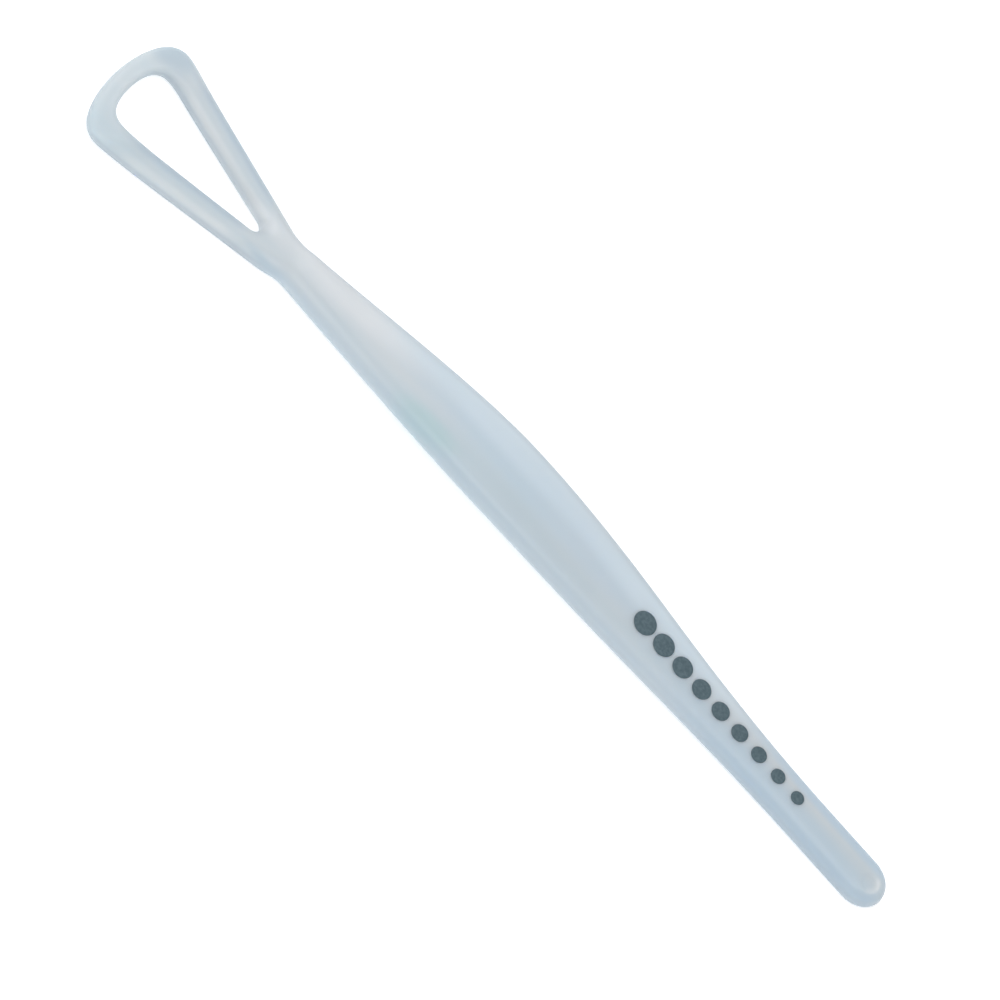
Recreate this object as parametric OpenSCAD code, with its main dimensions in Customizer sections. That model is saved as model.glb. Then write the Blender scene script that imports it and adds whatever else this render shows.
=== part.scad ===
// Loop tongue scraper: one plastic moulding with an open loop head, an arched grip and a slim tail,
// and a row of printed dots on the tail. X runs from the bow to the tail, Z is up, and z = 0 is the table.
// The moulding is divided across its length into sections that meet face to face.

/* [Head] */
// Length of the loop, from the leading edge of the bow to the crotch
loop_l = 34.1; // [28:0.1:42]
// Length of the rounded shoulder, from the leading edge to where the legs run straight
shoulder_l = 8.4; // [7:0.1:10]
// Width across the legs at the shoulder
shoulder_w = 23.5; // [20:0.1:28]
// Width across the legs at the crotch
yoke_w = 11; // [10:0.1:13]
// Width of a leg at the shoulder, measured straight across the head
leg_front_w = 5.2; // [4.2:0.1:6]
// Width of a leg at the crotch, measured straight across the head
leg_back_w = 4.4; // [3.6:0.1:4.8]
// Height of a leg above its parting line
leg_rise = 2.1; // [1.6:0.1:2.4]
// Depth of a leg below its parting line
leg_drop = 1.9; // [1.6:0.1:2.2]
// Width of the scraping band at the middle of the bow
bow_band = 3.3; // [2.6:0.1:4.2]
// Thickness of the scraping band
bow_t = 1.9; // [1.4:0.1:2.6]
// How far the rounded edges of the scraping band reach in
bow_round = 1; // [0.7:0.1:1.2]
// Length of the opening's rounding behind the bow
bow_inner_l = 1.7; // [1.2:0.1:2.2]
// Length of the rounded end of the opening at the crotch
crotch_l = 1.2; // [1:0.1:3]

/* [Neck] */
// Length from the crotch to the narrowest place
waist_l = 7.9; // [6:0.1:10]
// Width at the narrowest place
waist_w = 7.7; // [6.8:0.1:9]
// Softness of the inside corners where the legs run into the neck
waist_blend = 0.35; // [0.1:0.05:0.8]
// Depth of the neck below its parting line
waist_drop = 1.8; // [1.5:0.1:2]
// How far the round top edges of the neck reach in
neck_round = 3.4; // [2.4:0.1:3.6]

/* [Grip] */
// Length from the narrowest place to the widest place of the grip
swell_l = 48; // [40:0.5:56]
// Width of the grip at its widest place
grip_w = 15.4; // [13:0.1:18]
// Height of the grip above its parting line
grip_rise = 2.4; // [2:0.1:3]
// Depth of the grip below its parting line
grip_drop = 1; // [0.8:0.1:1.4]
// How far the round top edges of the grip reach in
grip_round = 2; // [1.5:0.1:2.2]
// How far the round lower edges of the grip reach in
under_round = 0.9; // [0.6:0.05:1.2]
// Radius of the gentle crown across the top, from the waist to the end of the tail
crown_r = 80; // [60:5:200]

/* [Tail] */
// Length from the widest place to the middle of the taper
fall_l = 35; // [30:0.5:40]
// Width at the middle of the taper
taper_w = 12.1; // [11:0.1:13]
// Length from the middle of the taper to the slim tail
taper_l = 38; // [34:0.5:42]
// Length of the slim tail, to its end
tail_l = 17; // [14:0.1:22]
// Width of the slim tail
tail_w = 8.2; // [7.4:0.1:9]
// Depth of the tail below its parting line
tail_drop = 1.45; // [1.3:0.05:1.6]
// Length of the tail's round end
tip_l = 4.8; // [3.8:0.1:5.6]

/* [Heights of the parting line above the table] */
// At the bow
bow_h = 3.2; // [2.6:0.05:3.6]
// At the front of the legs
leg_front_h = 2.7; // [2.4:0.05:3]
// At the crotch
crotch_h = 1.85; // [1.7:0.05:1.9]
// Midway between the crotch and the narrowest place
yoke_h = 1.75; // [1.6:0.05:1.8]
// At the narrowest place
waist_h = 2.6; // [2.3:0.05:2.9]
// At the top of the arch
arch_h = 5.5; // [4.5:0.1:7]
// At the middle of the taper
taper_h = 3.6; // [3:0.05:4]
// At the start of the slim tail
tail_h = 1.7; // [1.5:0.05:1.8]
// At the end of the tail
tip_h = 1.2; // [1:0.05:1.3]

/* [Print] */
// Number of printed dots
dot_n = 9; // [1:1:12]
// Distance from the widest place of the grip to the first dot's middle
dot_start_l = 32; // [31:0.5:36]
// Distance from the first dot's middle to the last dot's middle
dot_row_l = 37; // [33:0.5:38]
// Diameter of the first dot
dot_first_d = 4.2; // [2:0.1:4.6]
// Diameter of the last dot
dot_last_d = 2.4; // [1.5:0.1:3]
// Thickness of the ink
ink_t = 0.1; // [0.05:0.01:0.2]

/* [Hidden] */
plastic = [0.77, 0.83, 0.86];
ink = [0.31, 0.41, 0.45];

// Height of the small upright land along the parting line, and the flat left on the very end of the tail
land = 0.2;
tip_flat = 0.03;
// Gap that the ink keeps from the plastic
ink_gap = 0.02;
// Exponents of the bow's outline, and of the opening behind it
shoulder_share = 2.95;
front_share = 1.88;
inner_share = 1.05;
// Slopes of the outline and of the parting line at the stations, in length per length
neck_flare_share = 0.1;
taper_slope_share = 0.083;
leg_slope_share = 0.045;
crotch_slope_share = 0.035;
waist_rise_share = 0.04;
tail_fall_share = 0.034;
tip_fall_share = 0.022;
// Where the scraping band starts to thicken, and where it has become a leg, as shares of the shoulder
band_end_share = 0.2;
leg_start_share = 1.25;
// Where the bow and the legs are divided, and where the shoulder's height ends, as shares of the shoulder
bow_cut_share = 1.15;
bow_level_share = 0.93;
// Where the legs end at the yoke, as a share of the loop, and how far the yoke reaches past the waist,
// the neck up the swell and the grip down the fall, as shares of these
leg_cut_share = 0.9;
yoke_cut_share = 0.05;
neck_cut_share = 0.5;
grip_cut_share = 0.8;
// Crowding of the cross lines towards the middle of the bow, and towards the round ends
bow_crowd_share = 2.6;
end_crowd_share = 2;
yoke_crowd_share = 1.5;
// Numbers of stretches along each section, round its ends and across half of the part
bow_steps = 16;
leg_steps = 8;
crotch_steps = 5;
yoke_steps = 10;
neck_steps = 7;
grip_steps = 16;
tail_steps = 20;
tip_steps = 8;
cross_steps = 8;
// Finer stretches of the outlines that distances are measured to
path_steps = 30;
path_end_steps = 12;
// Sides of a printed dot
dot_steps = 48;

// Stations along the part
crotch_x = loop_l;
waist_x = crotch_x + waist_l;
grip_x = waist_x + swell_l;
taper_x = grip_x + fall_l;
tail_x = taper_x + taper_l;
end_x = tail_x + tail_l;
bow_cut_x = shoulder_l * bow_cut_share;
leg_cut_x = loop_l * leg_cut_share;
yoke_cut_x = waist_x + swell_l * yoke_cut_share;
neck_cut_x = waist_x + swell_l * neck_cut_share;
grip_cut_x = grip_x + fall_l * grip_cut_share;
leg_start_x = shoulder_l * leg_start_share;

// Slope of a leg's outer edge, and half the width of a leg square to it
leg_slope = (shoulder_w - yoke_w) / 2 / (crotch_x - shoulder_l);
leg_lean = cos(atan(leg_slope));
leg_front_r = leg_front_w / 2 * leg_lean;
leg_back_r = leg_back_w / 2 * leg_lean;

// Parting line: station, height, slope
spine = [
    [0, bow_h, 0],
    [shoulder_l * bow_level_share, bow_h, 0],
    [leg_start_x, leg_front_h, -leg_slope_share],
    [crotch_x, crotch_h, -crotch_slope_share],
    [(crotch_x + waist_x) / 2, yoke_h, 0],
    [waist_x, waist_h, waist_rise_share],
    [grip_x, arch_h, 0],
    [taper_x, taper_h, -taper_slope_share],
    [tail_x, tail_h, -tail_fall_share],
    [end_x, tip_h, -tip_fall_share]
];

// Edge of the handle: station, half width, slope
handle_edge = [
    [crotch_x, waist_w / 2 - waist_l * neck_flare_share, neck_flare_share],
    [waist_x, waist_w / 2, neck_flare_share],
    [grip_x, grip_w / 2, 0],
    [taper_x, taper_w / 2, -taper_slope_share],
    [tail_x, tail_w / 2, 0],
    [end_x, tail_w / 2, 0]
];

// Cross section: station, rise, drop, reach of the upper round, reach of the lower round
sections = [
    [0, bow_t / 2, bow_t / 2, bow_round, bow_round],
    [shoulder_l * band_end_share, bow_t / 2, bow_t / 2, bow_round, bow_round],
    [leg_start_x, leg_rise, leg_drop, leg_front_r, leg_front_r],
    [crotch_x, leg_rise, leg_drop, leg_back_r, leg_back_r],
    [waist_x, grip_rise, waist_drop, neck_round, (leg_back_r + under_round) / 2],
    [(waist_x + grip_x) / 2, grip_rise, grip_drop, neck_round, under_round],
    [grip_x, grip_rise, grip_drop, grip_round, under_round],
    [taper_x, grip_rise, grip_drop, grip_round, under_round],
    [tail_x, grip_rise, tail_drop, grip_round, under_round],
    [end_x, grip_rise, tail_drop, grip_round, under_round]
];

function span(table, x, i = 0) = i >= len(table) - 2 || x < table[i + 1][0] ? i : span(table, x, i + 1);
function part_way(a, b, x) = min(1, max(0, (x - a) / (b - a)));
function smooth(u) = u * u * (3 - 2 * u);

// Value of a table's column at x, easing from station to station
function eased(table, col, x) =
    let (i = span(table, x), a = table[i], b = table[i + 1])
    a[col] + (b[col] - a[col]) * smooth(part_way(a[0], b[0], x));

// Curve through a table's heights with its slopes
function curve(table, x) =
    let (i = span(table, x), a = table[i], b = table[i + 1], w = b[0] - a[0], u = part_way(a[0], b[0], x))
    a[1] + (b[1] - a[1]) * smooth(u) + w * u * (1 - u) * (a[2] * (1 - u) - b[2] * u);

// A quarter round that starts upright at the edge and ends level
function round_off(d, reach) = sqrt(1 - pow(1 - min(1, max(0, d / reach)), 2));

// Straight outer edge of a leg, and the width of the leg across the head
function leg_edge(x) = shoulder_w / 2 - leg_slope * (x - shoulder_l);
function leg_across(x) = leg_front_w + (leg_back_w - leg_front_w) * (x - shoulder_l) / (crotch_x - shoulder_l);

// Outline of the head and handle: the leg and the handle run into each other with a soft inside corner
function shoulder_close(x) = pow(1 - pow(1 - min(1, x / shoulder_l), shoulder_share), 1 / front_share);
function merged(a, b) = (a + b + sqrt(pow(a - b, 2) + pow(waist_blend, 2))) / 2;
function outer_y(x) = x < leg_cut_x
    ? leg_edge(x) * shoulder_close(x)
    : merged(leg_edge(x), curve(handle_edge, x)) * round_off(end_x - x, tip_l);

// Outline of the opening
function inner_close(x) = sqrt(1 - exp(-pow(max(0, x - bow_band) / bow_inner_l, inner_share)));
function inner_y(x) = x <= bow_band || x >= crotch_x
    ? 0
    : (leg_edge(x) - leg_across(x)) * inner_close(x) * round_off(crotch_x - x, crotch_l);

// Places along a stretch: even, crowded at its start or crowded at its end, with a crowding of 1 for none
function evenly(a, b, n) = [for (i = [0:n]) a + (b - a) * i / n];
function crowded(a, b, n, p) = [for (i = [0:n]) a + (b - a) * pow(i / n, p)];
function crowded_end(a, b, n, p) = [for (i = [0:n]) b - (b - a) * pow(1 - i / n, p)];
function rest_of(list) = [for (i = [1:len(list) - 1]) list[i]];
function reversed(list) = [for (i = [len(list) - 1:-1:0]) list[i]];

// The two outlines as fine paths, from which the distance to an edge is measured
outer_xs = concat(
    crowded(0, bow_cut_x, bow_steps, bow_crowd_share),
    rest_of(evenly(bow_cut_x, waist_x, path_steps)),
    rest_of(evenly(waist_x, end_x - tip_l, path_steps)),
    rest_of(crowded_end(end_x - tip_l, end_x, path_end_steps, end_crowd_share)));
inner_xs = concat(
    crowded(bow_band, bow_cut_x, bow_steps, bow_crowd_share),
    rest_of(evenly(bow_cut_x, crotch_x - crotch_l, path_steps)),
    rest_of(crowded_end(crotch_x - crotch_l, crotch_x, path_end_steps, end_crowd_share)));
outer_path = [for (x = outer_xs) [x, outer_y(x)]];
inner_path = [for (x = inner_xs) [x, inner_y(x)]];

function dist_line(p, a, b) =
    let (ab = b - a, u = min(1, max(0, (p - a) * ab / (ab * ab))))
    norm(p - a - ab * u);
function dist_path(p, path) = min([for (i = [0:len(path) - 2]) dist_line(p, path[i], path[i + 1])]);

// How full the section is at a place in the plan: 0 on an edge, 1 away from all edges
function fullness(p, reach) =
    let (q = [p[0], abs(p[1])])
    round_off(dist_path(q, outer_path), reach) *
    (p[0] > waist_x ? 1 : round_off(dist_path(q, inner_path), reach));
function crown_z(p) =
    smooth(part_way(crotch_x, waist_x, p[0])) * (pow(outer_y(p[0]), 2) - pow(p[1], 2)) / 2 / crown_r;
function top_z(p) =
    let (h = curve(spine, p[0]), rise = eased(sections, 1, p[0]))
    h + land / 2 + (rise - land / 2) * fullness(p, eased(sections, 3, p[0])) + crown_z(p);
function under_z(p) =
    let (h = curve(spine, p[0]), drop = eased(sections, 2, p[0]))
    max(0, h - land / 2 - (drop - land / 2) * fullness(p, eased(sections, 4, p[0])));

// Half of a cross line, from the outer edge to the opening or the middle plane. both = 1 crowds the
// points at its two ends and both = 0 at the outer edge only.
function shares_across(both) = [for (j = [0:cross_steps])
    both * (1 - cos(180 * j / cross_steps)) / 2 + (1 - both) * (1 - cos(90 * j / cross_steps))];
function cross_line(outer_x, inner_x, both) =
    let (a = [outer_x, outer_y(outer_x)], b = [inner_x, inner_y(inner_x)])
    [for (s = shares_across(both)) a + (b - a) * s];
function skin(line) = concat(
    [for (p = line) [p[0], p[1], top_z(p)]],
    [for (p = reversed(line)) [p[0], p[1], under_z(p)]]);
function mirrored(ring) = [for (p = ring) [p[0], -p[1], p[2]]];

// Rings: across half of the part, and across all of it
function half_ring(x, both) = skin(cross_line(x, x, both));
function full_ring(x) =
    let (half = cross_line(x, x, 0), back = rest_of(reversed(half)))
    skin(concat(half, [for (p = back) [p[0], -p[1]]]));
function bow_ring(t) =
    let (share = pow(t, bow_crowd_share))
    skin(cross_line(bow_cut_x * share, bow_band + (bow_cut_x - bow_band) * share, 1));

// A closed solid through a row of rings
module loft(rings) {
    n = len(rings[0]);
    m = len(rings);
    polyhedron(
        points = [for (r = rings) for (p = r) p],
        faces = concat(
            [[for (j = [0:n - 1]) j]],
            [for (i = [0:m - 2]) for (j = [0:n - 1]) each [
                [i * n + j, (i + 1) * n + j, (i + 1) * n + (j + 1) % n],
                [i * n + j, (i + 1) * n + (j + 1) % n, i * n + (j + 1) % n]]],
            [[for (j = [n - 1:-1:0]) (m - 1) * n + j]]),
        convexity = 4);
}

// The origin is on the table, under the middle of the whole part
module placed() {
    translate([-(end_x - tip_flat) / 2, 0, 0]) children();
}

module scraping_bow() {
    half = [for (i = [0:bow_steps]) bow_ring(i / bow_steps)];
    color(plastic) placed() loft(concat(reversed(half), [for (r = rest_of(half)) mirrored(r)]));
}

module leg() {
    loft([for (x = evenly(bow_cut_x, leg_cut_x, leg_steps)) half_ring(x, 1)]);
}

module left_leg() {
    color(plastic) placed() leg();
}

module right_leg() {
    color(plastic) placed() mirror([0, 1, 0]) leg();
}

// The legs come together here round the end of the opening
module yoke_half() {
    xs = concat(
        [leg_cut_x],
        crowded_end(crotch_x - crotch_l, crotch_x, crotch_steps, end_crowd_share),
        rest_of(crowded(crotch_x, yoke_cut_x, yoke_steps, yoke_crowd_share)));
    loft([for (x = xs) half_ring(x, 1 - part_way(crotch_x, yoke_cut_x, x))]);
}

module yoke() {
    color(plastic) placed() union() {
        yoke_half();
        mirror([0, 1, 0]) yoke_half();
    }
}

module neck() {
    color(plastic) placed() loft([for (x = evenly(yoke_cut_x, neck_cut_x, neck_steps)) full_ring(x)]);
}

module grip() {
    color(plastic) placed() loft([for (x = evenly(neck_cut_x, grip_cut_x, grip_steps)) full_ring(x)]);
}

module tail() {
    xs = concat(
        evenly(grip_cut_x, end_x - tip_l, tail_steps),
        rest_of(crowded_end(end_x - tip_l, end_x - tip_flat, tip_steps, end_crowd_share)));
    color(plastic) placed() loft([for (x = xs) full_ring(x)]);
}

// A row of plain dots that grow smaller towards the tail, each lying along the slope under it
module printed_dots() {
    color(ink) placed() for (i = [0:dot_n - 1]) {
        u = dot_n > 1 ? i / (dot_n - 1) : 0;
        x = grip_x + dot_start_l + dot_row_l * u;
        d = dot_first_d + (dot_last_d - dot_first_d) * u;
        rise = top_z([x + d / 2, 0]) - top_z([x - d / 2, 0]);
        translate([x, 0, top_z([x, 0]) + ink_gap])
            rotate([0, -atan(rise / d), 0]) cylinder(h = ink_t, d = d, $fn = dot_steps);
    }
}

scraping_bow();
left_leg();
right_leg();
yoke();
neck();
grip();
tail();
printed_dots();
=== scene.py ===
import math

import bmesh
import bpy
import numpy as np
from mathutils import Matrix, Vector


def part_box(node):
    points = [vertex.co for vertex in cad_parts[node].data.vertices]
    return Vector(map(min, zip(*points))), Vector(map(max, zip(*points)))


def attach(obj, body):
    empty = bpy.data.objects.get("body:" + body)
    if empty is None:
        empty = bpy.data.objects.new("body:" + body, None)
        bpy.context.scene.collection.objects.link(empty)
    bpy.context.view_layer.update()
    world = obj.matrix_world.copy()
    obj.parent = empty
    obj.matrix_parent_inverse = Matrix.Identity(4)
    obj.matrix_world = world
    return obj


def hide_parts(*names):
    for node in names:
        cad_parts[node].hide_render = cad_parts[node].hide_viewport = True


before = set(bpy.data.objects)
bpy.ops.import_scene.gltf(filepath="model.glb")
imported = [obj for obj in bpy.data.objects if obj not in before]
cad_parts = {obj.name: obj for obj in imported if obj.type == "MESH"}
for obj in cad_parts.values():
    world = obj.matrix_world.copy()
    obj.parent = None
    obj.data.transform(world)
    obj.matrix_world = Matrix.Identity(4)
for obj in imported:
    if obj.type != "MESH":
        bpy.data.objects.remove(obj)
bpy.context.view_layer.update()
print("frame loaded:", ", ".join(sorted(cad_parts)))

mm = 0.001
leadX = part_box("scraping_bow")[0].x / mm  # the bow's leading edge, in mm, from which the sizes below run

# Sizes of the moulding in mm. They are those of the solids, apart from the parting line, which eases down
# behind the bow and up out of the yoke over longer stretches and is 0.3 mm off at most. Slopes, exponents
# and shares have no unit.
moulding = {
    "loopLength": 34.1,
    "shoulderLength": 8.4,
    "shoulderWidth": 23.5,
    "yokeWidth": 11.0,
    "legFrontWidth": 5.2,
    "legBackWidth": 4.4,
    "legRise": 2.1,
    "legDrop": 1.9,
    "bowBand": 3.3,
    "bowThickness": 1.9,
    "bowRound": 1.0,
    "bowInnerLength": 1.7,
    "crotchLength": 1.2,
    "waistLength": 7.9,
    "waistWidth": 7.7,
    "waistBlend": 0.35,
    "waistDrop": 1.8,
    "neckRound": 3.4,
    "swellLength": 48.0,
    "gripWidth": 15.4,
    "gripRise": 2.4,
    "gripDrop": 1.0,
    "gripRound": 2.0,
    "underRound": 0.9,
    "crownRadius": 80.0,
    "fallLength": 35.0,
    "taperWidth": 12.1,
    "taperLength": 38.0,
    "tailLength": 17.0,
    "tailWidth": 8.2,
    "tailDrop": 1.45,
    "tipLength": 4.8,
    "bowHeight": 3.2,
    "legFrontHeight": 2.7,
    "crotchHeight": 1.85,
    "yokeHeight": 1.75,
    "neckHeight": 2.8,
    "archHeight": 5.5,
    "taperHeight": 3.6,
    "tailHeight": 1.7,
    "tipHeight": 1.2,
    "land": 0.2,  # height of the upright strip along the parting line
    "flash": 0.04,  # how far the raised line stands out of that strip
    "shoulderExponent": 2.95,
    "frontExponent": 1.88,
    "innerExponent": 1.05,
    "neckFlare": 0.1,
    "taperSlope": 0.083,
    "legSlope": 0.045,
    "crotchSlope": 0.035,
    "neckSlope": 0.048,
    "tailFall": 0.034,
    "tipFall": 0.022,
    "bandEndShare": 0.2,  # where the band starts to thicken, as a share of the shoulder
    "legStartShare": 1.25,  # and where it has become a leg
    "bowCutShare": 1.15,  # where the rings of the bow end and those of the legs begin
    "legCutShare": 0.9,  # where the legs' outline hands over to the handle's, as a share of the loop
    "bowLevelLength": 4.6,  # how far back the bow stays level; from there it eases down to the legs
    "legLevelLength": 14.0,  # where it has come down to them
    "neckLength": 9.4,  # from the crotch to where the parting line has risen out of the yoke
    "yokeCutShare": 0.05,  # how far the yoke reaches past the waist, as a share of the swell
}

# How finely the skin is drawn: stretches round the bow, along the legs, round the crotch, along the yoke and
# the handle, round the tip, and across half of the part
fineness = {"bow": 72, "legs": 44, "crotch": 14, "yoke": 30, "handle": 150, "tip": 26, "across": 22}
# The same for the two outlines that distances to an edge are measured from
pathFineness = {"bow": 60, "side": 80, "opening": 40, "end": 30}
# How much the stretches crowd towards the middle of the bow, the round ends and the crotch, 1 for not at all
crowding = {"none": 1, "bow": 2.6, "end": 2, "yoke": 1.5}
tiny = 1e-9  # keeps divisions off zero, and tells places that are the same
onMiddle = 1e-6  # a point closer to the middle plane than this, in mm, lies in it
weldDistance = 1e-7  # points closer to each other than this, in metres, are one

crotchX = moulding["loopLength"]
waistX = crotchX + moulding["waistLength"]
gripX = waistX + moulding["swellLength"]
taperX = gripX + moulding["fallLength"]
tailX = taperX + moulding["taperLength"]
endX = tailX + moulding["tailLength"]
bowCutX = moulding["shoulderLength"] * moulding["bowCutShare"]
legStartX = moulding["shoulderLength"] * moulding["legStartShare"]
yokeCutX = waistX + moulding["swellLength"] * moulding["yokeCutShare"]
legLean = (moulding["shoulderWidth"] - moulding["yokeWidth"]) / 2 / (crotchX - moulding["shoulderLength"])
legCos = math.cos(math.atan(legLean))
legFrontReach = moulding["legFrontWidth"] / 2 * legCos
legBackReach = moulding["legBackWidth"] / 2 * legCos
legFall = moulding["legSlope"] * (moulding["legLevelLength"] - legStartX)
halfBow = moulding["bowThickness"] / 2
m = moulding  # short for the tables and functions below

# Height of the parting line: station, height, slope
spine = np.array([
    [0, m["bowHeight"], 0],
    [m["bowLevelLength"], m["bowHeight"], 0],
    [m["legLevelLength"], m["legFrontHeight"] - legFall, -m["legSlope"]],
    [crotchX, m["crotchHeight"], -m["crotchSlope"]],
    [(crotchX + waistX) / 2, m["yokeHeight"], 0],
    [crotchX + m["neckLength"], m["neckHeight"], m["neckSlope"]],
    [gripX, m["archHeight"], 0],
    [taperX, m["taperHeight"], -m["taperSlope"]],
    [tailX, m["tailHeight"], -m["tailFall"]],
    [endX, m["tipHeight"], -m["tipFall"]],
])
# Edge of the handle: station, half width, slope
handleEdge = np.array([
    [crotchX, m["waistWidth"] / 2 - m["waistLength"] * m["neckFlare"], m["neckFlare"]],
    [waistX, m["waistWidth"] / 2, m["neckFlare"]],
    [gripX, m["gripWidth"] / 2, 0],
    [taperX, m["taperWidth"] / 2, -m["taperSlope"]],
    [tailX, m["tailWidth"] / 2, 0],
    [endX, m["tailWidth"] / 2, 0],
])
# Cross section: station, rise, drop, reach of the upper round, reach of the lower round
sections = np.array([
    [0, halfBow, halfBow, m["bowRound"], m["bowRound"]],
    [m["shoulderLength"] * m["bandEndShare"], halfBow, halfBow, m["bowRound"], m["bowRound"]],
    [legStartX, m["legRise"], m["legDrop"], legFrontReach, legFrontReach],
    [crotchX, m["legRise"], m["legDrop"], legBackReach, legBackReach],
    [waistX, m["gripRise"], m["waistDrop"], m["neckRound"], (legBackReach + m["underRound"]) / 2],
    [(waistX + gripX) / 2, m["gripRise"], m["gripDrop"], m["neckRound"], m["underRound"]],
    [gripX, m["gripRise"], m["gripDrop"], m["gripRound"], m["underRound"]],
    [taperX, m["gripRise"], m["gripDrop"], m["gripRound"], m["underRound"]],
    [tailX, m["gripRise"], m["tailDrop"], m["gripRound"], m["underRound"]],
    [endX, m["gripRise"], m["tailDrop"], m["gripRound"], m["underRound"]],
])


def stretchOf(table, x):
    # the two rows that x lies between, the distance between them and how far x is along it
    i = np.clip(np.searchsorted(table[:, 0], x, side="right") - 1, 0, len(table) - 2)
    width = table[i + 1, 0] - table[i, 0]
    return table[i], table[i + 1], width, np.clip((x - table[i, 0]) / width, 0, 1)


def smoothStep(u):
    return u * u * (3 - 2 * u)


def easedAt(table, column, x):
    a, b, width, u = stretchOf(table, x)
    return a[..., column] + (b[..., column] - a[..., column]) * smoothStep(u)


def curveAt(table, x):
    a, b, width, u = stretchOf(table, x)
    bend = width * u * (1 - u) * (a[..., 2] * (1 - u) - b[..., 2] * u)
    return a[..., 1] + (b[..., 1] - a[..., 1]) * smoothStep(u) + bend


def roundOff(depth, reach):
    # a quarter round that starts upright at the edge and ends level
    return np.sqrt(1 - (1 - np.clip(depth / reach, 0, 1)) ** 2)


def legEdge(x):
    return m["shoulderWidth"] / 2 - legLean * (x - m["shoulderLength"])


def outerY(x):
    # half width of the outline
    leg = legEdge(x)
    handle = curveAt(handleEdge, x)
    merged = (leg + handle + np.sqrt((leg - handle) ** 2 + m["waistBlend"] ** 2)) / 2
    ahead = 1 - np.clip(x / m["shoulderLength"], 0, 1)
    front = leg * (1 - ahead ** m["shoulderExponent"]) ** (1 / m["frontExponent"])
    back = merged * roundOff(endX - x, m["tipLength"])
    return np.where(x < crotchX * m["legCutShare"], front, back)


def innerY(x):
    # half width of the opening, nothing past its ends
    along = (x - m["shoulderLength"]) / (crotchX - m["shoulderLength"])
    across = m["legFrontWidth"] + (m["legBackWidth"] - m["legFrontWidth"]) * along
    started = np.maximum(0, x - m["bowBand"]) / m["bowInnerLength"]
    closing = np.sqrt(1 - np.exp(-(started ** m["innerExponent"])))
    y = (legEdge(x) - across) * closing * roundOff(crotchX - x, m["crotchLength"])
    return np.where((x <= m["bowBand"]) | (x >= crotchX), 0, y)


def crowded(a, b, steps, power):
    # places from a to b that crowd at a
    return a + (b - a) * (np.arange(steps + 1) / steps) ** power


def crowdedEnd(a, b, steps, power):
    # places from a to b that crowd at b
    return b - (b - a) * (1 - np.arange(steps + 1) / steps) ** power


def outlinePath(xs, y):
    return np.stack([xs, y(xs)], axis=1)


crotchStartX = crotchX - m["crotchLength"]
tipStartX = endX - m["tipLength"]
outerPath = outlinePath(np.concatenate([
    crowded(0, bowCutX, pathFineness["bow"], crowding["bow"]),
    crowded(bowCutX, waistX, pathFineness["side"], crowding["none"])[1:],
    crowded(waistX, tipStartX, pathFineness["side"], crowding["none"])[1:],
    crowdedEnd(tipStartX, endX, pathFineness["end"], crowding["end"])[1:],
]), outerY)
innerPath = outlinePath(np.concatenate([
    crowded(m["bowBand"], bowCutX, pathFineness["bow"], crowding["bow"]),
    crowded(bowCutX, crotchStartX, pathFineness["opening"], crowding["none"])[1:],
    crowdedEnd(crotchStartX, crotchX, pathFineness["end"], crowding["end"])[1:],
]), innerY)


def distanceTo(path, points):
    # plan distance from each point to the nearest stretch of the path
    best = np.full(len(points), np.inf)
    for a, b in zip(path[:-1], path[1:]):
        along = b - a
        u = np.clip(((points - a) @ along) / (along @ along), 0, 1)
        best = np.minimum(best, np.linalg.norm(points - a - u[:, None] * along, axis=1))
    return best


def edgeDepths(points):
    # distances to the outer outline and to the opening's, for places on either side of the middle plane
    folded = np.stack([points[:, 0], np.abs(points[:, 1])], axis=1)
    return distanceTo(outerPath, folded), distanceTo(innerPath, folded)


# Where the plastic entered the mould: a shallow round dimple on top of the tip, with a painted highlight
# inside the half of its rim that faces the tail's end. Lengths in mm.
gateMark = {
    "fromEnd": 3.25,
    "aside": -0.55,
    "radius": 1.7,
    "rim": 0.35,  # width of its soft rim
    "depth": 0.1,
    "highlightWidth": 1.3,
    "highlightStrength": 0.32,
    "highlightTurn": 1.6,  # how quickly the blush comes in round the rim
}


def fromGate(points):
    # distance from the middle of the gate mark, and the share of it that points to the end of the tail
    g = gateMark
    offset = points - (endX - g["fromEnd"], g["aside"])
    distance = np.linalg.norm(offset, axis=1)
    return distance, offset[:, 0] / np.maximum(distance, tiny)


def heights(points):
    # the upper and the lower surface at places in the plan, and the places' distances to the two outlines
    x = points[:, 0]
    outer, inner = edgeDepths(points)
    middle = curveAt(spine, x)
    land = m["land"] / 2

    def fullness(reach):
        return roundOff(outer, reach) * np.where(x > waistX, 1, roundOff(inner, reach))

    crownStart = smoothStep(np.clip((x - crotchX) / (waistX - crotchX), 0, 1))
    crown = crownStart * (outerY(x) ** 2 - points[:, 1] ** 2) / 2 / m["crownRadius"]
    inMark = np.clip((gateMark["radius"] - fromGate(points)[0]) / gateMark["rim"], 0, 1)
    top = middle + land + (easedAt(sections, 1, x) - land) * fullness(easedAt(sections, 3, x)) + crown
    top = top - gateMark["depth"] * smoothStep(inMark)
    under = middle - land - (easedAt(sections, 2, x) - land) * fullness(easedAt(sections, 4, x))
    return top, np.maximum(0, under), outer, inner


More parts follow.
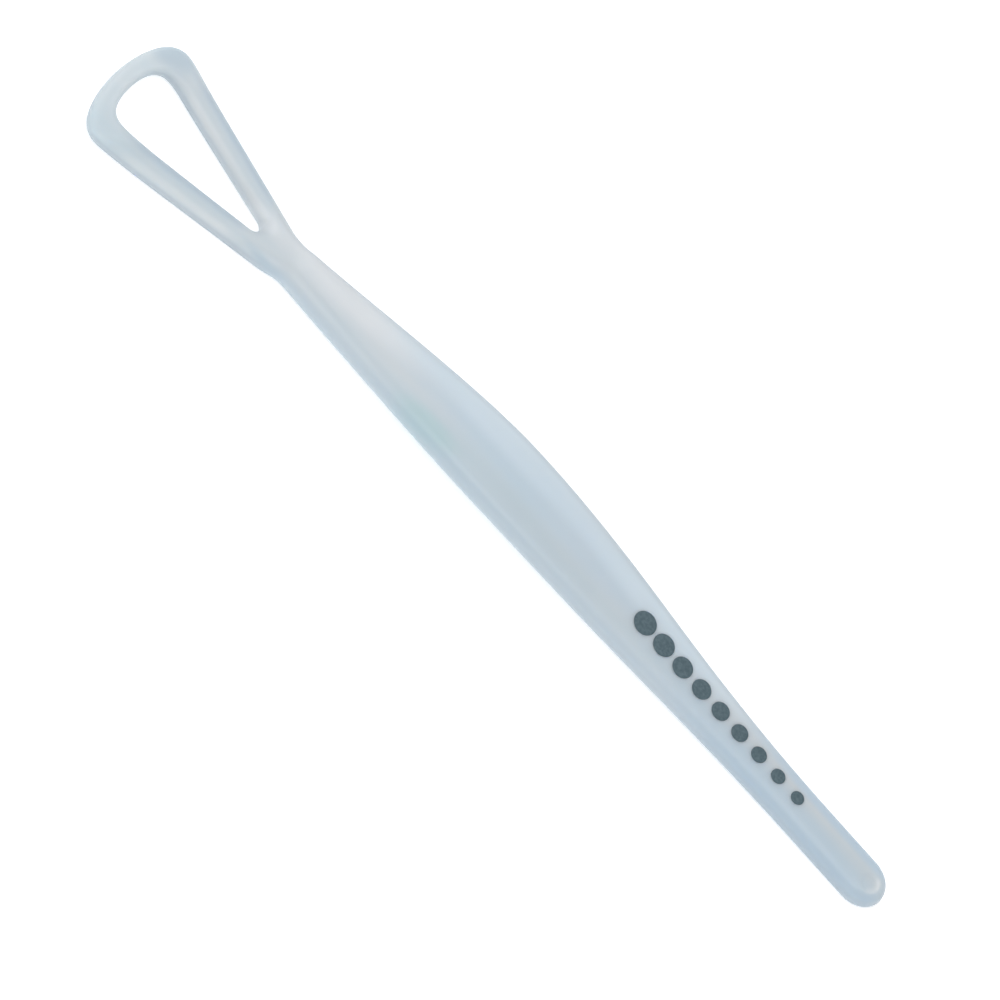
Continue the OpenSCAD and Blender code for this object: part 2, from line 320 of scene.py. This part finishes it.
def stations():
    # cross lines of half of the part: x on the outer edge, x on the opening or the middle plane, and how the
    # points crowd along the line, from 1 for both of its ends to 0 for the outer edge only
    straight = np.concatenate([
        crowded(bowCutX, crotchStartX, fineness["legs"], crowding["none"])[1:],
        crowdedEnd(crotchStartX, crotchX, fineness["crotch"], crowding["end"])[1:],
        crowded(crotchX, yokeCutX, fineness["yoke"], crowding["yoke"])[1:],
        crowded(yokeCutX, tipStartX, fineness["handle"], crowding["none"])[1:],
        crowdedEnd(tipStartX, endX, fineness["tip"], crowding["end"])[1:],
    ])
    outerX = np.concatenate([crowded(0, bowCutX, fineness["bow"], crowding["bow"]), straight])
    innerX = np.concatenate([crowded(m["bowBand"], bowCutX, fineness["bow"], crowding["bow"]), straight])
    return outerX, innerX, 1 - np.clip((innerX - crotchX) / (yokeCutX - crotchX), 0, 1)


# How the plastic's colour runs across the moulding, as shares from 0 to 1 and lengths in mm. It is bluer
# where it thins out along the edges, partly as painted shade. It has painted shade over the left half of each
# leg, a painted highlight towards the right edge of each leg and at the gate mark's rim, and a painted dark
# outline along the parting line.
tinting = {
    "legPaintedShade": 0.45,
    "legShadeFrom": 0.34,  # where on the way from the leg's right edge to its left one the painted shade begins
    "legShadeRun": 0.34,  # and over how much of that way it comes in
    "legMilk": 0.28,
    "legMilkFrom": -0.04,  # where the painted highlight streak begins to come in, just outside the leg's right edge
    "legMilkStartRun": 0.1,
    "legMilkTo": 0.12,  # where it begins to fade again
    "legMilkEndRun": 0.24,
    "legFade": 5.0,  # length over which both begin behind the bow and end at the crotch
    # by station: the bluer edge's reach and its share, partly painted shade, and the share of the painted
    # dark outline along the parting line on the right and the left
    "bowEdge": (0.6, 0.15, 0.5, 0.4),
    "crotchEdge": (0.6, 0.2, 0.5, 0.3),
    "waistEdge": (1.4, 0.3, 0.12, 0.65),
    "gripEdge": (2.4, 0.3, 0.2, 0.5),
    "taperEdge": (2.4, 0.35, 0.35, 0.6),
    "tailEdge": (2.0, 0.6, 0.35, 0.35),
    "outlineShadeReach": 0.3,  # how far the painted dark outline, shade along the parting line, reaches up and in from the right edge
    "leftShadeReach": 2.6,  # and from the left one
    "underShade": 2.0,  # how many times stronger it is below the parting line
    "underReach": 0.6,
    "openingFade": 0.75,  # how much of the edges' tints is gone round the opening by the crotch
}
edgeTints = np.array([
    [0, *tinting["bowEdge"]],
    [crotchX, *tinting["crotchEdge"]],
    [waistX, *tinting["waistEdge"]],
    [gripX, *tinting["gripEdge"]],
    [taperX, *tinting["taperEdge"]],
    [tailX, *tinting["tailEdge"]],
    [endX, *tinting["tailEdge"]],
])


def wayAcross(points):
    # 0 at the right edge and 1 at the left edge of the leg or of the handle
    x, side = points[:, 0], np.sign(points[:, 1])
    inner = innerY(x)
    way = np.clip((np.abs(points[:, 1]) - inner) / (outerY(x) - inner + tiny), 0, 1)
    return np.where(x < crotchX, np.where(side > 0, way, 1 - way), (1 + side * way) / 2)


def behindBow(x):
    # 0 on the bow and 1 behind it
    return smoothStep(np.clip((x - legStartX + tinting["legFade"] / 2) / tinting["legFade"], 0, 1))


def onLegs(x):
    # 1 along the legs, 0 on the bow and from the crotch on
    return behindBow(x) * (1 - smoothStep(np.clip((x - crotchX) / tinting["legFade"] + 1, 0, 1)))


def edgeShare(points, outer, inner, reach, column):
    # 1 at an edge and 0 past the reach, times the share in the table, and fainter round the opening towards
    # the crotch
    x = points[:, 0]
    closing = smoothStep(np.clip((x - legStartX) / (crotchX - legStartX), 0, 1))
    nearOuter, nearInner = [1 - smoothStep(np.clip(depth / reach, 0, 1)) for depth in (outer, inner)]
    near = np.maximum(nearOuter, nearInner * (1 - closing * tinting["openingFade"]))
    return near * easedAt(edgeTints, column, x)


# bluer edges, partly painted shade, and painted shade over the left half of each leg
def blueEdgeAndShadeShare(points, outer, inner):
    edge = edgeShare(points, outer, inner, easedAt(edgeTints, 1, points[:, 0]), 2)
    begun = np.clip((wayAcross(points) - tinting["legShadeFrom"]) / tinting["legShadeRun"], 0, 1)
    return np.maximum(edge, smoothStep(begun) * onLegs(points[:, 0]) * tinting["legPaintedShade"])


# painted highlight: a streak towards the right edge of each leg, and a crescent inside the gate mark's rim
# towards the tail's end
def paintedHighlightShare(points):
    way = wayAcross(points)
    begun = np.clip((way - tinting["legMilkFrom"]) / tinting["legMilkStartRun"], 0, 1)
    ended = np.clip((way - tinting["legMilkTo"]) / tinting["legMilkEndRun"], 0, 1)
    streak = smoothStep(begun) * (1 - smoothStep(ended)) * onLegs(points[:, 0])
    distance, towardsEnd = fromGate(points)
    inwards = gateMark["radius"] - distance
    rim = 1 - np.where(inwards > 0, inwards / gateMark["highlightWidth"], -inwards / gateMark["rim"]).clip(0, 1)
    crescent = smoothStep(rim) * smoothStep(np.clip(towardsEnd * gateMark["highlightTurn"], 0, 1))
    return np.maximum(streak * tinting["legMilk"], crescent * gateMark["highlightStrength"])


# painted shade: a thin dark outline along the right edge, a wider one along the left edge, and stronger below
# the parting line
def outlineShadeShare(points, outer, inner, above):
    if not above:
        return edgeShare(points, outer, inner, tinting["underReach"], 3) * tinting["underShade"]
    left = behindBow(points[:, 0]) * smoothStep(wayAcross(points))
    reach = tinting["outlineShadeReach"] + (tinting["leftShadeReach"] - tinting["outlineShadeReach"]) * left
    rightShare, leftShare = [edgeShare(points, outer, inner, reach, column) for column in (3, 4)]
    return rightShare + (leftShare - rightShare) * left


def mouldingSkin(side):
    # rings round half of the part with their tints: the left half for a side of 1, the right half for -1
    outerX, innerX, both = stations()
    steps = fineness["across"]
    angle = np.pi * np.arange(steps + 1) / steps
    share = both[:, None] * (1 - np.cos(angle)) / 2 + (1 - both[:, None]) * (1 - np.cos(angle / 2))
    outer = outlinePath(outerX, outerY)
    inner = outlinePath(innerX, innerY)
    plan = outer[:, None, :] + (inner - outer)[:, None, :] * share[:, :, None]
    points = plan.reshape(-1, 2) * (1, side)
    top, under, outerDepth, innerDepth = heights(points)
    depths = (points, outerDepth, innerDepth)
    lines = [outlineShadeShare(*depths, above) for above in (True, False)]
    # the painted highlight, the bluer edges with painted shade, and the painted dark outline above and below
    # the parting line
    top, under, paintedHighlight, blue, line, underShade = (
        values.reshape(share.shape) for values in (top, under, paintedHighlightShare(points), blueEdgeAndShadeShare(*depths), *lines))

    def bead(edge, column, outward):
        # the parting line's thin raised line, half way up the upright strip
        along = np.gradient(edge, axis=0)
        along /= np.linalg.norm(along, axis=1)[:, None] + tiny
        out = np.stack([-along[:, 1], along[:, 0]], axis=1) * m["flash"] * outward
        out[np.abs(edge[:, 1]) < onMiddle, 1] = 0
        z = (top[:, column] + under[:, column]) / 2
        return np.concatenate([edge + out, z[:, None]], axis=1)[:, None, :]

    upper = np.concatenate([plan, top[:, :, None]], axis=2)
    lower = np.concatenate([plan, under[:, :, None]], axis=2)[:, ::-1]
    rings = np.concatenate([upper, bead(inner, -1, -1), lower, bead(outer, 0, 1)], axis=1) * (1, side, 1)
    shares = [np.concatenate([a, a[:, -1:], b[:, ::-1], a[:, :1]], axis=1)
              for a, b in ((paintedHighlight, paintedHighlight), (blue, blue), (line, underShade))]
    return rings, shares, innerX


def addPoint(bm, x, y, z):
    # a point given in mm from the bow's leading edge
    return bm.verts.new(((x + leadX) * mm, y * mm, z * mm))


def addMesh(name, bm):
    mesh = bpy.data.meshes.new(name)
    bm.to_mesh(mesh)
    bm.free()
    mesh.polygons.foreach_set("use_smooth", [True] * len(mesh.polygons))
    piece = bpy.data.objects.new(name, mesh)
    bpy.context.scene.collection.objects.link(piece)
    return piece


def buildMoulding():
    steps = fineness["across"]
    bm = bmesh.new()
    layers = [bm.verts.layers.float.new(name) for name in ("paintedHighlightShare", "blueEdgeAndShadeShare", "outlineShadeShare")]
    for side in (1, -1):
        rings, shares, innerX = mouldingSkin(side)
        grid = []
        for i, ring in enumerate(rings):
            row = [addPoint(bm, *place) for place in ring]
            for layer, values in zip(layers, shares):
                for vert, value in zip(row, values[i]):
                    vert[layer] = value
            grid.append(row)
        count = len(grid[0])
        for i in range(len(grid) - 1):
            for j in range(count):
                # past the crotch there is no inner wall, because the two halves meet there
                if j in (steps, steps + 1) and innerX[i] >= crotchX - tiny:
                    continue
                k = (j + 1) % count
                quad = (grid[i][j], grid[i + 1][j], grid[i + 1][k], grid[i][k])
                bm.faces.new(quad if side > 0 else quad[::-1])
    bmesh.ops.remove_doubles(bm, verts=bm.verts, dist=weldDistance)
    bmesh.ops.dissolve_degenerate(bm, edges=bm.edges, dist=weldDistance)
    bmesh.ops.recalc_face_normals(bm, faces=bm.faces)
    return addMesh("mouldedBody", bm)


body = buildMoulding()
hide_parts("scraping_bow", "left_leg", "right_leg", "yoke", "neck", "grip", "tail")
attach(body, "root")
print("moulding drawn:", len(body.data.vertices), "points")

# The printed row: plain dots that grow smaller towards the tail's end, in mm
printedRow = {
    "count": 9,
    "startLength": 32.0,  # from the widest place of the grip to the first dot's middle
    "rowLength": 37.0,  # from there to the last dot's middle
    "firstDiameter": 4.2,
    "lastDiameter": 2.4,
    "sink": 0.02,  # how deep the ink's foot is set into the plastic
    "film": 0.05,  # height of the ink at its middle
    "edgePower": 4,  # how square the film's edge is
    "around": 64,  # points round a dot
    "rings": 7,
}


def addDot(bm, x, radius):
    # a film that follows the plastic under it, with its middle at x
    p = printedRow
    # rings from the foot's middle out, over the rim and back to the top's middle
    share = np.sin(np.linspace(0, math.pi / 2, p["rings"] + 1))[1:]
    radii = np.concatenate([share, share[::-1]]) * radius
    film = p["film"] * np.sqrt(1 - share[::-1] ** p["edgePower"])
    lift = np.concatenate([np.full(len(share), -p["sink"]), film])
    angles = 2 * math.pi * np.arange(p["around"]) / p["around"]
    rows = []
    for r, h in zip(radii, lift):
        places = np.stack([x + r * np.cos(angles), r * np.sin(angles)], axis=1)
        top = heights(places)[0] + h
        rows.append([addPoint(bm, px, py, z) for (px, py), z in zip(places, top)])
    middle = heights(np.array([[x, 0.0]]))[0][0]
    foot = addPoint(bm, x, 0, middle - p["sink"])
    crown = addPoint(bm, x, 0, middle + p["film"])
    for j in range(p["around"]):
        k = (j + 1) % p["around"]
        for a, b in zip(rows[:-1], rows[1:]):
            bm.faces.new((a[j], a[k], b[k], b[j]))
        bm.faces.new((foot, rows[0][k], rows[0][j]))
        bm.faces.new((crown, rows[-1][j], rows[-1][k]))


def buildDots():
    bm = bmesh.new()
    for u in np.linspace(0, 1, printedRow["count"]):
        x = gripX + printedRow["startLength"] + printedRow["rowLength"] * u
        first, last = printedRow["firstDiameter"], printedRow["lastDiameter"]
        addDot(bm, x, (first + (last - first) * u) / 2)
    bmesh.ops.recalc_face_normals(bm, faces=bm.faces)
    return addMesh("printedDots", bm)


dots = buildDots()
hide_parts("printed_dots")
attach(dots, "root")
print("print drawn:", printedRow["count"], "dots")


def srgb(hexColour):
    # an sRGB hex colour as linear RGBA
    values = [int(hexColour[i:i + 2], 16) / 255 for i in (1, 3, 5)]
    return [v / 12.92 if v <= 0.04045 else ((v + 0.055) / 1.055) ** 2.4 for v in values] + [1]


def addNode(tree, kind, settings={}, links={}):
    # adds a node, sets its properties and its sockets, and links the sockets named or numbered in links
    node = tree.nodes.new(kind)
    for name, value in settings.items():
        if isinstance(name, int) or name in node.inputs:
            node.inputs[name].default_value = value
        else:
            setattr(node, name, value)
    for name, output in links.items():
        tree.links.new(node.inputs[name], output)
    return node


def newMaterial(name):
    material = bpy.data.materials.new(name)
    material.use_nodes = True
    material.node_tree.nodes.clear()
    return material, material.node_tree


# Polypropylene with a little blue in it, injection moulded in a mould with a fine satin surface: a milky body
# that light enters and leaves again, bluer along its thin edges, partly as painted shade, with faint streaks
# from the flow along it
polypropylene = {
    "core": "#C7CFD4",
    # the bluer edges: partly the thin plastic's own tone, partly painted shade
    "edge": "#A9BCCB",
    # grey of the painted dark outline along the edges and below the parting line: painted shade
    "line": "#A4AEB7",
    # painted highlight on the legs and at the gate mark's rim
    "paintedHighlight": "#E9E7E5",
    "warmFlow": "#CAD0D4",
    "coolFlow": "#C3CED4",
    "flowLength": 30.0,  # mm
    "flowWidth": 6.0,  # mm
    "flowRange": (0.32, 0.68),  # the noise's values at which the streaks are fully cool and fully warm
    "grain": 0.35,  # mm, coarser than the mould's real 0.05 mm so that it shows
    "grainDepth": 0.0012,  # mm
    "roughness": (0.36, 0.44),
    "ior": 1.49,
    "scatter": 1.0,
    "scatterDepth": 3.0,  # mm
    "scatterTint": (1.0, 1.0, 0.95),  # share of that depth that red, green and blue light reach
}

# Soft patches laid over the plastic's colour: a bluer tone through the grip, a cooler, darker patch by the
# right edge on the swell, and painted light and shade for the rest. The painted light lies on the neck, on
# the left side of the grip and the taper, and by the crotch. The painted shade lies on the right side of the
# grip, the taper and the tail, the left side of the tail, the crease by the yoke and the bow's left corner.
# Their middle from the bow's leading edge and from the middle plane, their length and width in mm, their
# colour and how strong it is
clouds = {
    "neckPaintedLight": {"middle": (52, 2.0), "size": (49, 9.4), "colour": "#DFE0E2", "share": 0.71},
    "gripCore": {"middle": (99, 0.6), "size": (92, 9), "colour": "#BDCFDC", "share": 0.45},
    "gripPaintedLight": {"middle": (88, 3.9), "size": (84, 8.4), "colour": "#D1DCE4", "share": 0.65},
    "tailPaintedLight": {"middle": (126, 2.8), "size": (56, 6.8), "colour": "#D4DEE5", "share": 0.65},
    "gripShade": {"middle": (90, -5.4), "size": (80, 8), "colour": "#BAC8D0", "share": 0.5},
    "tailLeftShade": {"middle": (166, 2.8), "size": (54, 4), "colour": "#AFC6D8", "share": 0.55},
    "tailShade": {"middle": (157, -2.8), "size": (88, 8), "colour": "#AFC6D6", "share": 0.4},
    "crotchPaintedLight": {"middle": (32.4, 1.2), "size": (11, 4.4), "colour": "#E8EAEC", "share": 0.45},
    "coolPatch": {"middle": (75, -5.4), "size": (18, 6), "colour": "#B0C9CC", "share": 0.6},
    "yokeShade": {"middle": (38.6, -4.2), "size": (13, 2.0), "colour": "#9DB9CB", "share": 0.2},
    "bowShade": {"middle": (4, 10), "size": (14, 9), "colour": "#A9BCC9", "share": 0.5},
}
cloudCore = 0.7  # how far in from its rim a cloud is at its strongest, as a share of the way to its middle


def addCloud(tree, place, below, cloud):
    # lays the cloud over the colour below and gives the new colour
    halves = [v * mm / 2 for v in cloud["size"]]
    scale = (1 / halves[0], 1 / halves[1], 0)
    shift = (-(leadX + cloud["middle"][0]) * mm / halves[0], -cloud["middle"][1] * mm / halves[1], 0)
    ball = addNode(tree, "ShaderNodeMapping", {"Scale": scale, "Location": shift}, {"Vector": place})
    near = addNode(tree, "ShaderNodeTexGradient", {"gradient_type": "SPHERICAL"},
                   {"Vector": ball.outputs[0]})
    share = addNode(tree, "ShaderNodeMapRange",
                    {"interpolation_type": "SMOOTHSTEP", "From Max": cloudCore, "To Max": cloud["share"]},
                    {"Value": near.outputs["Fac"]})
    laid = addNode(tree, "ShaderNodeMix", {"data_type": "RGBA", 7: srgb(cloud["colour"])},
                   {0: share.outputs[0], 6: below})
    return laid.outputs[2]


def mouldedPolypropylene():
    p = polypropylene
    material, tree = newMaterial("mouldedPolypropylene")
    place = addNode(tree, "ShaderNodeTexCoord").outputs["Object"]
    flowScale = (1 / (p["flowLength"] * mm), 1 / (p["flowWidth"] * mm), 1 / (p["flowWidth"] * mm))
    stretched = addNode(tree, "ShaderNodeMapping", {"Scale": flowScale}, {"Vector": place})
    flow = addNode(tree, "ShaderNodeTexNoise", {"Scale": 1.0, "Detail": 2.0, "Roughness": 0.45},
                   {"Vector": stretched.outputs[0]})
    flowColour = addNode(tree, "ShaderNodeValToRGB", {}, {"Fac": flow.outputs["Fac"]})
    ramp = flowColour.color_ramp
    ramp.elements[0].position, ramp.elements[1].position = p["flowRange"]
    ramp.elements[0].color = srgb(p["coolFlow"])
    ramp.elements[1].color = srgb(p["warmFlow"])
    ramp.elements.new(0.5).color = srgb(p["core"])
    colour = flowColour.outputs[0]
    for cloud in clouds.values():
        colour = addCloud(tree, place, colour, cloud)
    # the tints of each point, which buildMoulding wrote on the mesh: a painted highlight, bluer edges that
    # are partly painted shade, and a painted dark outline
    for attribute, tint in (("paintedHighlightShare", "paintedHighlight"), ("blueEdgeAndShadeShare", "edge"), ("outlineShadeShare", "line")):
        share = addNode(tree, "ShaderNodeAttribute", {"attribute_name": attribute}).outputs["Fac"]
        colour = addNode(tree, "ShaderNodeMix", {"data_type": "RGBA", 7: srgb(p[tint])},
                         {0: share, 6: colour}).outputs[2]
    grain = addNode(tree, "ShaderNodeTexNoise", {"Scale": 1 / (p["grain"] * mm), "Detail": 1.0},
                    {"Vector": place})
    satin = addNode(tree, "ShaderNodeMapRange", {"To Min": p["roughness"][0], "To Max": p["roughness"][1]},
                    {"Value": grain.outputs["Fac"]})
    relief = addNode(tree, "ShaderNodeBump", {"Strength": 1.0, "Distance": p["grainDepth"] * mm},
                     {"Height": grain.outputs["Fac"]})
    plastic = addNode(tree, "ShaderNodeBsdfPrincipled", {
        "IOR": p["ior"], "Subsurface Weight": p["scatter"], "Subsurface Radius": p["scatterTint"],
        "Subsurface Scale": p["scatterDepth"] * mm},
        {"Base Color": colour, "Roughness": satin.outputs[0], "Normal": relief.outputs[0]})
    addNode(tree, "ShaderNodeOutputMaterial", {}, {"Surface": plastic.outputs[0]})
    return material


# Slate blue pad-printing ink: a thin matte film, slightly mottled where the pad left less of it
ink = {
    "solid": "#42575F",
    "thin": "#556971",
    "mottle": 0.5,  # mm
    "coverRange": (0.35, 0.7),  # the noise's values at which the cover is solid and thin
    "roughness": (0.5, 0.62),
    "ior": 1.5,
}


def padPrintInk():
    material, tree = newMaterial("padPrintInk")
    place = addNode(tree, "ShaderNodeTexCoord").outputs["Object"]
    mottle = addNode(tree, "ShaderNodeTexNoise", {"Scale": 1 / (ink["mottle"] * mm), "Detail": 3.0},
                     {"Vector": place})
    cover = addNode(tree, "ShaderNodeValToRGB", {}, {"Fac": mottle.outputs["Fac"]})
    ramp = cover.color_ramp
    ramp.elements[0].position, ramp.elements[1].position = ink["coverRange"]
    ramp.elements[0].color = srgb(ink["solid"])
    ramp.elements[1].color = srgb(ink["thin"])
    matte = addNode(tree, "ShaderNodeMapRange",
                    {"To Min": ink["roughness"][0], "To Max": ink["roughness"][1]},
                    {"Value": mottle.outputs["Fac"]})
    film = addNode(tree, "ShaderNodeBsdfPrincipled", {"IOR": ink["ior"]},
                   {"Base Color": cover.outputs[0], "Roughness": matte.outputs[0]})
    addNode(tree, "ShaderNodeOutputMaterial", {}, {"Surface": film.outputs[0]})
    return material


body.data.materials.append(mouldedPolypropylene())
dots.data.materials.append(padPrintInk())
print("materials set")

# White card under the object, pale air around it, and a large softbox above either side of it. Sizes in
# metres, power in watts.
studio = {
    "floorSize": 6.0,
    "floorColour": "#F6F6F6",
    "floorGlow": 0.4,  # a slight glow of its own, which keeps the card white under the soft light
    "skyColour": "#F5F7F9",
    "skyStrength": 0.65,
    "farSize": 0.6,
    "farPlace": (-0.35, 0.6, 1.12),
    "farPower": 3.5,
    "nearSize": 0.6,
    "nearPlace": (-0.1, -0.6, 1.15),
    "nearPower": 4.5,
}


def buildFloor():
    half = studio["floorSize"] / 2
    bm = bmesh.new()
    bmesh.ops.create_grid(bm, x_segments=1, y_segments=1, size=half)
    floor = addMesh("floor", bm)
    material, tree = newMaterial("whiteCard")
    card = addNode(tree, "ShaderNodeBsdfPrincipled", {
        "Base Color": srgb(studio["floorColour"]), "Roughness": 0.9, "Specular IOR Level": 0.0,
        "Emission Color": (1, 1, 1, 1), "Emission Strength": studio["floorGlow"]})
    addNode(tree, "ShaderNodeOutputMaterial", {}, {"Surface": card.outputs[0]})
    floor.data.materials.append(material)


def addSoftbox(name, place, size, power):
    # a square lamp that faces the origin
    lamp = bpy.data.lights.new(name, "AREA")
    lamp.shape = "SQUARE"
    lamp.size = size
    lamp.energy = power
    softbox = bpy.data.objects.new(name, lamp)
    softbox.location = place
    softbox.rotation_euler = (-Vector(place)).to_track_quat("-Z", "Y").to_euler()
    bpy.context.scene.collection.objects.link(softbox)


def buildSky():
    world = bpy.data.worlds.new("studioAir")
    world.use_nodes = True
    air = world.node_tree.nodes["Background"]
    air.inputs["Color"].default_value = srgb(studio["skyColour"])
    air.inputs["Strength"].default_value = studio["skyStrength"]
    bpy.context.scene.world = world


buildFloor()
buildSky()
addSoftbox("farSoftbox", studio["farPlace"], studio["farSize"], studio["farPower"])
addSoftbox("nearSoftbox", studio["nearPlace"], studio["nearSize"], studio["nearPower"])
print("studio set")

# The photograph's view: a long lens that looks down from the object's right side and is turned so that the
# bow is at the upper left. Angles in degrees, lengths in metres, the sensor in mm.
cameraView = {
    "elevation": 55.0,
    "roll": 47.055,
    "distance": 6.0,
    "field": 0.15965,  # what the square picture's side measures at the object
    "target": (0.001815, -0.00243, 0.0037),
    "sensor": 36.0,
    "farthest": 20.0,  # nothing past this is drawn
}


def buildCamera():
    lean = math.radians(90 - cameraView["elevation"])
    roll = math.radians(cameraView["roll"])
    back = Vector((0, -math.sin(lean), math.cos(lean)))  # from the object to the camera
    along = Vector((1, 0, 0))
    across = back.cross(along)
    right = along * math.cos(roll) + across * math.sin(roll)
    up = back.cross(right)
    lens = bpy.data.cameras.new("camera")
    lens.sensor_width = cameraView["sensor"]
    lens.lens = cameraView["sensor"] * cameraView["distance"] / cameraView["field"]
    lens.clip_end = cameraView["farthest"]
    camera = bpy.data.objects.new("camera", lens)
    turn = Matrix((right, up, back)).transposed().to_4x4()
    place = Vector(cameraView["target"]) + back * cameraView["distance"]
    camera.matrix_world = Matrix.Translation(place) @ turn
    bpy.context.scene.collection.objects.link(camera)
    bpy.context.scene.camera = camera


buildCamera()
bpy.context.scene.view_settings.view_transform = "Standard"
print("camera set")
